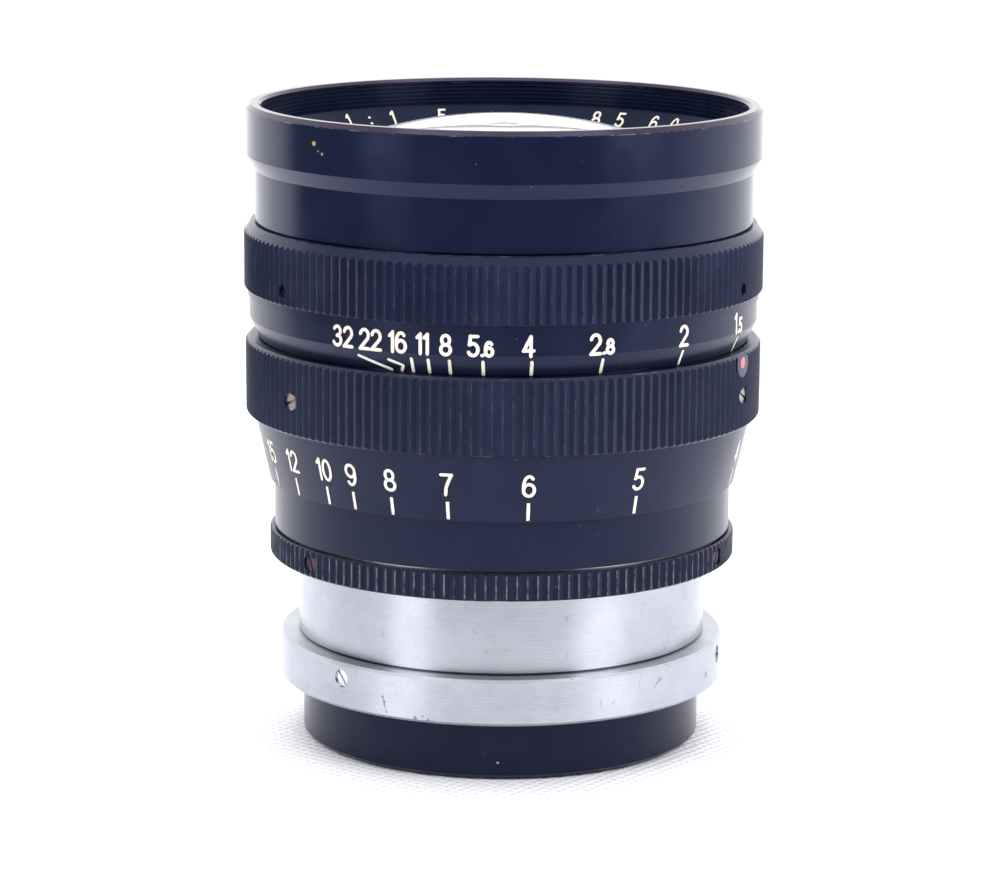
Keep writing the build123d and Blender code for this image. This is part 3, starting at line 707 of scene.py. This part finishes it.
def split(line: Stroke) -> list[Stroke]:
    """Cut a line wherever it turns sharply, so that each part keeps its full width."""
    parts, part = [], [line[0]]
    for i in range(1, len(line) - 1):
        part.append(line[i])
        before = Vector(line[i]) - Vector(line[i - 1])
        after = Vector(line[i + 1]) - Vector(line[i])
        if before.length and after.length and before.angle(after) > SHARP:
            parts.append(part)
            part = [line[i]]
    return parts + [part + [line[-1]]]


@dataclass(frozen=True)
class Slope:
    """A turned surface that carries figures, as the straight line of its section."""

    low: Point
    high: Point
    inside: bool = False

    def at(self, along: float, up: float, proud: float, angle: float) -> Vector:
        """Return the place of a point drawn on the surface.

        Args:
            along: distance to the right of the middle of the figures.
            up: distance up the slope from its low end.
            proud: distance out of the surface.
            angle: angle of the middle of the figures, in degrees.

        Returns:
            The point, in metres.
        """
        rise = Vector((self.high[0] - self.low[0], self.high[1] - self.low[1])).normalized()
        out = Vector((-rise.y, rise.x)) if self.inside else Vector((rise.y, -rise.x))
        sense = -1 if self.inside else 1
        radius = self.low[0] + rise.x * up + out.x * proud
        height = self.low[1] + rise.y * up + out.y * proud
        middle = self.low[0] + rise.x * up
        turn = math.radians(angle) + sense * along / middle
        return Vector((radius * math.sin(turn), -radius * math.cos(turn), height)) * MM


class Ends(Enum):
    """How a line ends: rounded by the cutter, or square."""

    ROUND = "round"
    SQUARE = "square"


@dataclass
class Engraving:
    """Lines and figures cut in one surface and filled with paint, as one piece with a dark rim of
    painted shade that stands in for the shadow in the cut.
    """

    name: str
    body: str
    slope: Slope
    width: float
    proud: float = 0.022
    strokes: list[tuple[float, Stroke, Ends]] = field(default_factory=list)

    def write(self, text: str, angle: float, foot: float, tall: float, gap: float = 0.2) -> None:
        """Add a row of figures centred on an angle.

        Args:
            text: the figures; after a point they are smaller.
            angle: middle of the row in degrees.
            foot: distance of the feet up the slope.
            tall: height of a full figure between the middles of its lines.
            gap: space between figures as a share of the height.
        """
        across, rows, size = 0.0, [], tall
        for mark in text:
            wide, lines = FIGURES[mark]
            rows += [
                [(across + x * size * SLIM_SHARE, foot + y * size) for x, y in line]
                for line in lines
            ]
            size = tall * AFTER_POINT_SHARE if mark == "." else size
            across += wide * size * SLIM_SHARE + gap * tall * (
                POINT_GAP_SHARE if mark == "." else 1.0
            )
        half = (across - gap * tall) / 2
        for row in rows:
            for part in split(row):
                self.strokes.append((angle, [(x - half, y) for x, y in part], Ends.ROUND))

    def rule(self, angle: float, points: Stroke, ends: Ends = Ends.ROUND) -> None:
        """Add one line through points given as distance along and up from an angle."""
        path = [points[0]]
        for x, y in points[1:]:
            before = path[-1]
            steps = max(1, round(math.hypot(x - before[0], y - before[1]) / LINE_STEP))
            path += [
                (before[0] + (x - before[0]) * i / steps, before[1] + (y - before[1]) * i / steps)
                for i in range(1, steps + 1)
            ]
        self.strokes.append((angle, path, ends))

    def tube(self, name: str, half: float, flat: float):
        """Build every line as a low rounded ridge lying on the surface.

        Args:
            name: name of the piece.
            half: half the width of a line.
            flat: height of the ridge.

        Returns:
            The piece, not yet dressed.
        """
        curve = bpy.data.curves.new(name, "CURVE")
        curve.dimensions = "3D"
        curve.bevel_depth = half
        curve.bevel_resolution = 1
        curve.use_fill_caps = True
        for line, (_, points, ends) in enumerate(self.strokes):
            path = [(Vector((x + line * APART, y)), 1.0) for x, y in points]
            closed = (path[0][0] - path[-1][0]).length < CLOSED_WITHIN
            if closed:
                path.pop()
            elif ends is Ends.ROUND:
                before = (path[0][0] - path[1][0]).normalized()
                after = (path[-1][0] - path[-2][0]).normalized()
                head = [(path[0][0] + before * half * s, c) for s, c in reversed(ROUND_END)]
                tail = [(path[-1][0] + after * half * s, c) for s, c in ROUND_END]
                path = head + path + tail
            spline = curve.splines.new("POLY")
            spline.points.add(len(path) - 1)
            for target, (spot, share) in zip(spline.points, path):
                target.co = (spot.x, spot.y, 0.0, 1.0)
                target.radius = share
            spline.use_cyclic_u = closed
        piece = bpy.data.objects.new(name, curve)
        bpy.context.scene.collection.objects.link(piece)
        make_active(piece)
        bpy.ops.object.convert(target="MESH")
        piece = bpy.context.view_layer.objects.active
        self.wrap(piece, half, flat)
        return piece

    def wrap(self, piece, half: float, flat: float) -> None:
        """Lay a flat drawn mesh on the surface, each line at its own angle.

        Args:
            piece: the mesh, with its lines drawn a fixed distance apart.
            half: half the width of a line.
            flat: height of a ridge.
        """
        for vertex in piece.data.vertices:
            line = round(vertex.co.x / APART)
            along, up, out = vertex.co - Vector((line * APART, 0.0, 0.0))
            vertex.co = self.slope.at(along, up, out / half * flat, self.strokes[line][0])
        piece.data.update()

    def build(self, paint, edge) -> None:
        """Make the paint and the dark rim of painted shade round it, for the shadow in the cut,
        dress both and let them ride.

        Args:
            paint: material of the fill.
            edge: material of the painted shade round the cut.
        """
        half = self.width / 2
        for name, reach, flat, finish in (
            (self.name + "_paint", half, self.proud, paint),
            # painted shade: a wider, lower dark rim round the paint, for the shadow in the cut
            (self.name + "_cut_painted_shade", half + CUT_SHADE_WIDTH, self.proud * CUT_SHADE_RISE_SHARE, edge),
        ):
            piece = self.tube(name, reach, flat)
            piece.name = name
            piece.data.materials.clear()
            piece.data.materials.append(finish)
            make_active(piece)
            bpy.ops.object.mode_set(mode="EDIT")
            bpy.ops.mesh.select_all(action="SELECT")
            bpy.ops.mesh.remove_doubles(threshold=WELD)
            bpy.ops.mesh.normals_make_consistent(inside=False)
            bpy.ops.object.mode_set(mode="OBJECT")
            bpy.ops.object.shade_smooth()
            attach(piece, self.body)
            log.info("%s rides on %s with %d faces", name, self.body, len(piece.data.polygons))


# ---------------------------------------------------------------- sub-assemblies
def dress(nodes: tuple[str, ...], finish) -> None:
    """Give CAD parts one finish.

    Args:
        nodes: names of the parts.
        finish: the material.
    """
    for name in nodes:
        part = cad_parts[name]
        if not part.material_slots:
            part.data.materials.append(finish)
        for slot in part.material_slots:
            slot.material = finish
        log.info("%s is %s", name, finish.name)


def high(node: str) -> float:
    """Return a part's greatest height in millimetres."""
    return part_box(node)[1].z / MM


def low(node: str) -> float:
    """Return a part's least height in millimetres."""
    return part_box(node)[0].z / MM


@dataclass
class PaintFill:
    """The two materials that every engraving shares."""

    cream: bpy.types.Material
    # painted shade round every cut
    edge: bpy.types.Material


@dataclass
class RearMount:
    """Rear cap, bayonet ring, satin barrel and the narrow knurled ring over it."""

    ring_radius: float = 27.53
    grip_radius: float = 28.77
    sleeve_radius: float = 28.18
    cap_radius: float = 24.65
    # painted shade: the dark line at the foot of the barrel, as heights above the ring's top
    seam_shade_rise: tuple[float, float] = (0.22, 0.32)
    index_angle: float = -117.5
    index_line: tuple[float, float] = (0.6, 5.4)
    depth_line: tuple[float, float] = (3.6, 5.4)
    depth_foot: float = 0.75
    depth_height: float = 1.9
    depth_stops: tuple[tuple[str, float], ...] = (("4", 6.5), ("8", 14.0), ("16", 27.0))

    def build(self, fill: PaintFill) -> None:
        """Dress the parts and draw the depth marks on the index sleeve."""
        cap = Enamel(
            "moulded_black_phenolic",
            "#0c1120",
            "#101526",
            0.2,
            level=0.27,
            chips=(Chip(-0.6, 2.2, 0.16, self.cap_radius),),
            chip_colour="#a9865a",
            edges=(high("rear_cap") - 1.3,),
        )
        dress(("rear_cap",), cap.make())
        ring_top = high("mount_ring")
        barrel = TurnedMetal(
            "satin_chromed_brass_barrel",
            "#b0b3b9",
            "#a6a9b0",
            0.3,
            anisotropy=0.7,
            scratches=0.3,
            seam_shade=(ring_top + self.seam_shade_rise[0], ring_top + self.seam_shade_rise[1]),
        )
        dress(("mount_barrel",), barrel.make())
        ring_middle = (low("mount_ring") + ring_top) / 2
        ring = TurnedMetal(
            "satin_chromed_brass_bayonet",
            "#b2b5bb",
            "#a8abb2",
            0.27,
            anisotropy=0.7,
            scratches=0.5,
            shoulder=ring_top,
            marks=(
                *(
                    Chip(-30.7 + 0.16 * i, ring_middle - 0.2 - 0.26 * i, 0.2, self.ring_radius)
                    for i in range(8)
                ),
                Chip(-21.6, ring_middle - 2.3, 0.3, self.ring_radius),
                Chip(-19.7, ring_middle - 2.0, 0.24, self.ring_radius),
                Chip(-17.9, ring_middle - 2.4, 0.3, self.ring_radius),
                Chip(66.0, ring_middle - 0.6, 0.6, self.ring_radius),
                Chip(18.0, ring_middle + 2.6, 0.25, self.ring_radius - 0.3),
            ),
        )
        dress(("mount_ring", "coupling_retainer"), ring.make())
        grip = Enamel(
            "worn_black_enamel_grip",
            "#0c1223",
            "#111728",
            0.28,
            worn="#a9a5a3",
            crest=self.grip_radius,
            crest_wear=0.62,
            edges=(low("grip_ring") + 0.05,),
            edge_reach=0.12,
            level=0.27,
        )
        dress(("grip_ring",), grip.make())
        sleeve = Enamel("satin_black_enamel_sleeve", "#111727", "#151b2b", 0.24, level=0.3)
        dress(("index_sleeve",), sleeve.make())
        foot = low("index_sleeve")
        sleeve_side = Slope((self.sleeve_radius, foot), (self.sleeve_radius, high("index_sleeve")))
        marks = Engraving("depth_marks", "mount", sleeve_side, 0.3)
        marks.rule(self.index_angle, [(0.0, up) for up in self.index_line])
        for stop, spread in self.depth_stops:
            for side in (-1, 1):
                angle = self.index_angle + side * spread
                marks.rule(angle, [(0.0, up) for up in self.depth_line])
                marks.write(stop, angle, self.depth_foot, self.depth_height)
        marks.build(fill.cream, fill.edge)


@dataclass
class FocusRing:
    """Focus ring with its distance cone and distance scale; its index plug and set screws are
    dressed with the fasteners.
    """

    knurl_radius: float = 31.65
    cone_height: float = 8.2
    cone_low_radius: float = 28.75
    cone_high_radius: float = 30.6
    figure_height: float = 2.52
    figure_foot: float = 3.4
    infinity_foot: float = 3.65
    tick: tuple[float, float] = (0.25, 2.5)
    infinity_angle: float = -117.5
    turn_per_dioptre: float = 698.0
    near_offset: float = 0.35
    feet: tuple[str, ...] = (
        "50", "30", "20", "15", "12", "10", "9", "8", "7", "6", "5", "4", "3.5", "3"
    )

    def angle_of(self, feet: float) -> float:
        """Return the angle of a distance mark, in degrees."""
        return self.infinity_angle + self.turn_per_dioptre / (feet - self.near_offset)

    def build(self, fill: PaintFill) -> None:
        """Dress the ring and engrave its distance scale."""
        foot = low("focus_ring")
        ring_low = foot + self.cone_height
        finish = Enamel(
            "satin_black_enamel_focus",
            "#141a2b",
            "#181e30",
            0.28,
            worn="#5b5f6d",
            crest=self.knurl_radius,
            crest_wear=0.4,
            edges=(ring_low + 0.2, high("focus_ring") - 0.1),
            edge_reach=0.16,
            level=0.3,
            chips=(Chip(-7.9, ring_low + 4.6, 0.2, self.knurl_radius),),
            chip_colour="#d8d2c6",
        )
        dress(("focus_ring",), finish.make())
        cone = Slope((self.cone_low_radius, foot), (self.cone_high_radius, ring_low))
        scale = Engraving("distance_scale", "head", cone, 0.47)
        tick = [(0.0, up) for up in self.tick]
        for feet in self.feet:
            angle = self.angle_of(float(feet))
            scale.write(feet, angle, self.figure_foot, self.figure_height)
            scale.rule(angle, tick, Ends.SQUARE)
        scale.write("~", self.infinity_angle, self.infinity_foot, self.figure_height)
        scale.rule(self.infinity_angle, tick, Ends.SQUARE)
        scale.build(fill.cream, fill.edge)


@dataclass
class ApertureRing:
    """Aperture ring with its scale band, light band and knurl."""

    knurl_radius: float = 31.8
    scale_radius: float = 31.15
    bevel_radius: float = 30.1
    bevel_height: float = 2.37
    band_height: float = 3.0
    figure_height: float = 2.25
    figure_foot: float = 0.06
    tick_foot: float = 0.1
    tick_clear: float = 0.8
    stops: tuple[tuple[str, float], ...] = (
        ("32", -36.9),
        ("22", -29.7),
        ("16", -23.1),
        ("11", -17.4),
        ("8", -12.3),
        ("5.6", -4.8),
        ("4", 5.4),
        ("2.8", 21.6),
        ("2", 42.8),
        ("1.5", 64.6),
    )
    ticks: tuple[float, ...] = (65.6, 43.1, 22.0, 6.2, -4.3, -11.6, -16.3, -20.1)
    slant_angles: tuple[float, float] = (-22.8, -25.4)
    slant_degrees: tuple[float, float] = (3.7, 8.6)
    slant_clear: tuple[float, float] = (1.15, 1.0)
    slant_shift: float = 0.5
    bend_degrees: float = 0.5
    bend_height: float = 0.8

    def build(self, fill: PaintFill) -> None:
        """Dress the ring and engrave the aperture scale."""
        foot = low("aperture_ring")
        finish = Enamel(
            "satin_black_enamel_aperture",
            "#12182b",
            "#171d31",
            0.26,
            worn="#5b606f",
            crest=self.knurl_radius,
            crest_wear=0.34,
            edges=(high("aperture_ring") - 0.05,),
            edge_reach=0.12,
            level=0.36,
        )
        dress(("aperture_ring",), finish.make())
        bevel_top = foot + self.bevel_height
        band = Slope(
            (self.scale_radius, bevel_top), (self.scale_radius, bevel_top + self.band_height)
        )
        figures = Engraving("aperture_figures", "aperture", band, 0.49)
        for text, angle in self.stops:
            figures.write(text, angle, self.figure_foot, self.figure_height)
        figures.build(fill.cream, fill.edge)
        bevel = Slope((self.bevel_radius, foot), (self.scale_radius, bevel_top))
        ticks = Engraving("aperture_ticks", "aperture", bevel, 0.46)
        length = math.hypot(self.scale_radius - self.bevel_radius, self.bevel_height)
        for angle in self.ticks:
            ticks.rule(angle, [(0.0, self.tick_foot), (0.0, length - self.tick_clear)])

        # the figures 22 and 32 are crowded to the left, so their ticks slant to reach them
        per_degree = math.radians(1) * (self.bevel_radius + self.scale_radius) / 2
        start = (0.0, self.tick_foot)
        turn_off = (self.bend_degrees * per_degree, self.bend_height)
        tops = [
            (self.slant_shift - wide * per_degree, length - clear)
            for wide, clear in zip(self.slant_degrees, self.slant_clear)
        ]
        ticks.rule(self.slant_angles[0], [start, turn_off, tops[0]])
        ticks.rule(self.slant_angles[1], [start, tops[1]])
        ticks.build(fill.cream, fill.edge)


@dataclass
class FrontBarrel:
    """Neck, rim, filter thread, name ring and the barrel inside."""

    ring_low: Point = (27.6, 72.6)
    ring_high: Point = (29.56, 75.0)
    pitch: float = 6.9
    rim_radius: float = 31.5
    edge_drop: float = 0.6
    lip_drop: float = 0.45
    figure_foot: float = 0.45
    figure_height: float = 1.95
    rows: tuple[tuple[str, float], ...] = (
        ("1:1.5", 224.0), ("85", 155.5), ("60", 138.0), ("1:1.5", 30.0)
    )

    def build(self, fill: PaintFill) -> None:
        """Dress the barrel and write the generic figures of the name ring."""
        top = high("head_barrel")
        finish = Enamel(
            "gloss_black_enamel_front",
            "#121a2f",
            "#161e34",
            0.15,
            worn="#a89fa3",
            edges=(top - self.edge_drop,),
            edge_reach=0.1,
            lip=(top - self.edge_drop, top - self.lip_drop),
            lip_tint="#291a24",
            level=0.37,
            chips=(
                Chip(-44.6, top - 2.6, 0.34, self.rim_radius),
                Chip(-43.4, top - 3.4, 0.26, self.rim_radius),
                Chip(-42.2, top - 3.7, 0.2, self.rim_radius),
            ),
        )
        dress(("head_barrel",), finish.make())
        ring = Enamel("satin_black_enamel_name_ring", "#101626", "#181f34", 0.4, level=0.12)
        dress(("name_ring",), ring.make())
        slope = Slope(self.ring_low, self.ring_high, inside=True)
        words = Engraving("name_ring_figures", "head", slope, 0.38)
        for text, first in self.rows:
            for i, mark in enumerate(text):
                words.write(mark, first - i * self.pitch, self.figure_foot, self.figure_height)
        words.build(fill.cream, fill.edge)


class Iris:
    """Blades, base plate and drum of the iris, and the cells round the glass."""

    def build(self) -> None:
        """Dress the blades, the plates that hold them and the inner metalwork."""
        blades = TurnedMetal(
            "blued_spring_steel", "#2c3038", "#22252c", 0.34, line=0.4, anisotropy=0.2
        )
        dress(tuple(f"iris_blade_{i}" for i in range(1, 13)), blades.make())
        matt = Enamel("matt_black_antireflection", "#101114", "#17181c", 0.62, level=0.25)
        dress(
            (
                "iris_base",
                "iris_drum",
                "front_spacer",
                "middle_cell",
                "middle_retainer",
                "rear_cell",
                "rear_retainer",
            ),
            matt.make(),
        )
        alloy = TurnedMetal("turned_aluminium_alloy", "#b4b6b8", "#a3a5a8", 0.38)
        dress(("inner_helicoid", "outer_helicoid"), alloy.make())
        brass = TurnedMetal("turned_brass", "#c9a253", "#b18b42", 0.3)
        dress(("coupling_ring", "guide_pins"), brass.make())


class Optics:
    """The three groups of coated glass."""

    def build(self) -> None:
        """Dress the lens elements."""
        crown = CoatedGlass("coated_crown_glass", "#fbfcfd", 1.62)
        names = ("front_glass",) + tuple(
            f"{g}_glass_{i}" for g in ("middle", "rear") for i in (1, 2, 3)
        )
        dress(names, crown.make())


class Fasteners:
    """Slotted set screws of the four rings, and the index with its red dot."""

    def build(self) -> None:
        """Dress the screws, the index plug and the index dot."""
        bright = TurnedMetal(
            "polished_steel_screw", "#e6e6ea", "#c9c8cc", 0.3, line=0.3, anisotropy=0.0
        )
        dress(("mount_ring_screws",), bright.make())
        steel = TurnedMetal(
            "slotted_steel_screw", "#a59d98", "#7d736c", 0.42, line=0.3, anisotropy=0.0
        )
        dress(("focus_ring_screws",), steel.make())
        painted = Enamel("brown_painted_screw", "#32262c", "#43343a", 0.45, level=0.3)
        dress(("grip_ring_screws",), painted.make())
        dark = TurnedMetal(
            "blackened_steel_screw", "#4a4744", "#2b2a2c", 0.42, line=0.3, anisotropy=0.0
        )
        dress(("aperture_drive_screws",), dark.make())
        plug = Enamel("polished_black_enamel_index", "#1a2033", "#20263a", 0.3)
        dress(("index_plug",), plug.make())
        red = FillPaint("red_index_enamel", "#e8646a", "#b8494f", 0.3)
        dress(("index_dot",), red.make())


# ---------------------------------------------------------------- studio
@dataclass
class Studio:
    """Plain pale floor, soft light from above and from both sides, and the camera.

    Places and sizes are in metres, the camera's tilts in radians, and its focal length and
    sensor in millimetres.
    """

    floor_radius: float = 0.24
    floor_drop: float = 0.00005
    camera_place: Place = (-0.000288, -0.45045, 0.12667)
    camera_pitch: float = 0.1975
    camera_roll: float = 0.0074
    focal_length: float = 133.34
    sensor: float = 36.0

    def camera(self) -> None:
        """Set the camera in front of the lens, looking slightly down."""
        data = bpy.data.cameras.new("camera")
        data.lens = self.focal_length
        data.sensor_width = self.sensor
        data.clip_start = 0.01
        camera = bpy.data.objects.new("camera", data)
        bpy.context.scene.collection.objects.link(camera)
        tilt = Matrix.Rotation(math.pi / 2 - self.camera_pitch, 4, "X")
        roll = Matrix.Rotation(self.camera_roll, 4, "Z")
        camera.matrix_world = Matrix.Translation(self.camera_place) @ tilt @ roll
        bpy.context.scene.camera = camera

    def floor(self) -> None:
        """Lay the sweep that the lens stands on."""
        deselect()
        bpy.ops.mesh.primitive_circle_add(
            vertices=128, radius=self.floor_radius, fill_type="NGON", location=(
                0, 0, -self.floor_drop
            )
        )
        sweep = bpy.context.object
        sweep.name = "sweep"
        sweep.data.materials.append(WovenPaper().make())

    def world(self) -> None:
        """Light the room: white behind and beside the lens, dim towards the camera."""
        world = bpy.data.worlds.new("tent")
        bpy.context.scene.world = world
        world.use_nodes = True
        tree = world.node_tree
        tree.nodes.clear()
        way = add(tree, "ShaderNodeTexCoord", out="Generated")
        axes = add(tree, "ShaderNodeSeparateXYZ", {0: way}).node
        front = add(tree, "ShaderNodeMath", {0: axes.outputs[1], 1: -1.0}, operation="MULTIPLY")
        turn = add(tree, "ShaderNodeMath", {0: axes.outputs[0], 1: front}, operation="ARCTAN2")
        right = add(
            tree,
            "ShaderNodeMapRange",
            {0: turn, 1: math.radians(50), 2: math.radians(106)},
            interpolation_type="SMOOTHSTEP",
        )
        left = add(
            tree,
            "ShaderNodeMapRange",
            {0: turn, 1: math.radians(-103), 2: math.radians(-118)},
            interpolation_type="SMOOTHSTEP",
        )
        sides = add(tree, "ShaderNodeMath", {0: right, 1: left}, operation="MAXIMUM")
        above = add(
            tree,
            "ShaderNodeMapRange",
            {0: axes.outputs[2], 1: 0.45, 2: 0.8},
            interpolation_type="SMOOTHSTEP",
        )
        bright = add(tree, "ShaderNodeMath", {0: sides, 1: above}, operation="MAXIMUM")
        level = add(tree, "ShaderNodeMapRange", {0: bright, 1: 0.0, 2: 1.0, 3: 0.13, 4: 1.65})
        seen = add(tree, "ShaderNodeLightPath", out="Is Camera Ray")
        final = add(tree, "ShaderNodeMix", {0: seen, 2: level, 3: 1.1}, out=0)
        shade = add(tree, "ShaderNodeBackground", {"Color": linear("#fdfdff"), "Strength": final})
        add(tree, "ShaderNodeOutputWorld", {"Surface": shade})

    def lamp(
        self, name: str, place: Place, aim: Place, wide: float, tall: float, power: float
    ) -> None:
        """Hang one soft panel.

        Args:
            name: name of the light.
            place: its middle, in metres.
            aim: the point that it faces, in metres.
            wide: width in metres.
            tall: height in metres.
            power: power in watts.
        """
        data = bpy.data.lights.new(name, "AREA")
        data.shape = "RECTANGLE"
        data.size, data.size_y, data.energy = wide, tall, power
        lamp = bpy.data.objects.new(name, data)
        bpy.context.scene.collection.objects.link(lamp)
        away = Vector(place) - Vector(aim)
        facing = away.to_track_quat("Z", "Y").to_matrix().to_4x4()
        lamp.matrix_world = Matrix.Translation(place) @ facing

    def build(self) -> None:
        """Set up the camera, the floor and the light."""
        self.camera()
        self.floor()
        self.world()
        self.lamp("panel_above", (0.0, 0.25, 0.95), (0.0, 0.0, 0.0), 0.9, 0.8, 6.0)
        self.lamp("panel_left", (-0.475, -0.38, 0.24), (0.0, 0.0, 0.02), 0.27, 0.46, 2.4)
        self.lamp("panel_right", (0.51, -0.33, 0.24), (0.0, 0.0, 0.02), 0.3, 0.46, 2.6)
        bpy.context.scene.view_settings.view_transform = "Standard"


def main() -> None:
    """Dress the lens from the rear cap up, and set the studio round it."""
    cream = FillPaint("cream_filling_paint", "#efe9da", "#9a8160").make()
    # painted shade: a dark rim round every engraving, for the shadow in the cut
    edge = Enamel("painted_shade_of_engraving_cut", "#0d0f18", "#14151c", 0.5, level=0.3).make()
    fill = PaintFill(cream, edge)
    RearMount().build(fill)
    FocusRing().build(fill)
    ApertureRing().build(fill)
    FrontBarrel().build(fill)
    Iris().build()
    Optics().build()
    Fasteners().build()
    Studio().build()


if __name__ == "__main__":
    main()
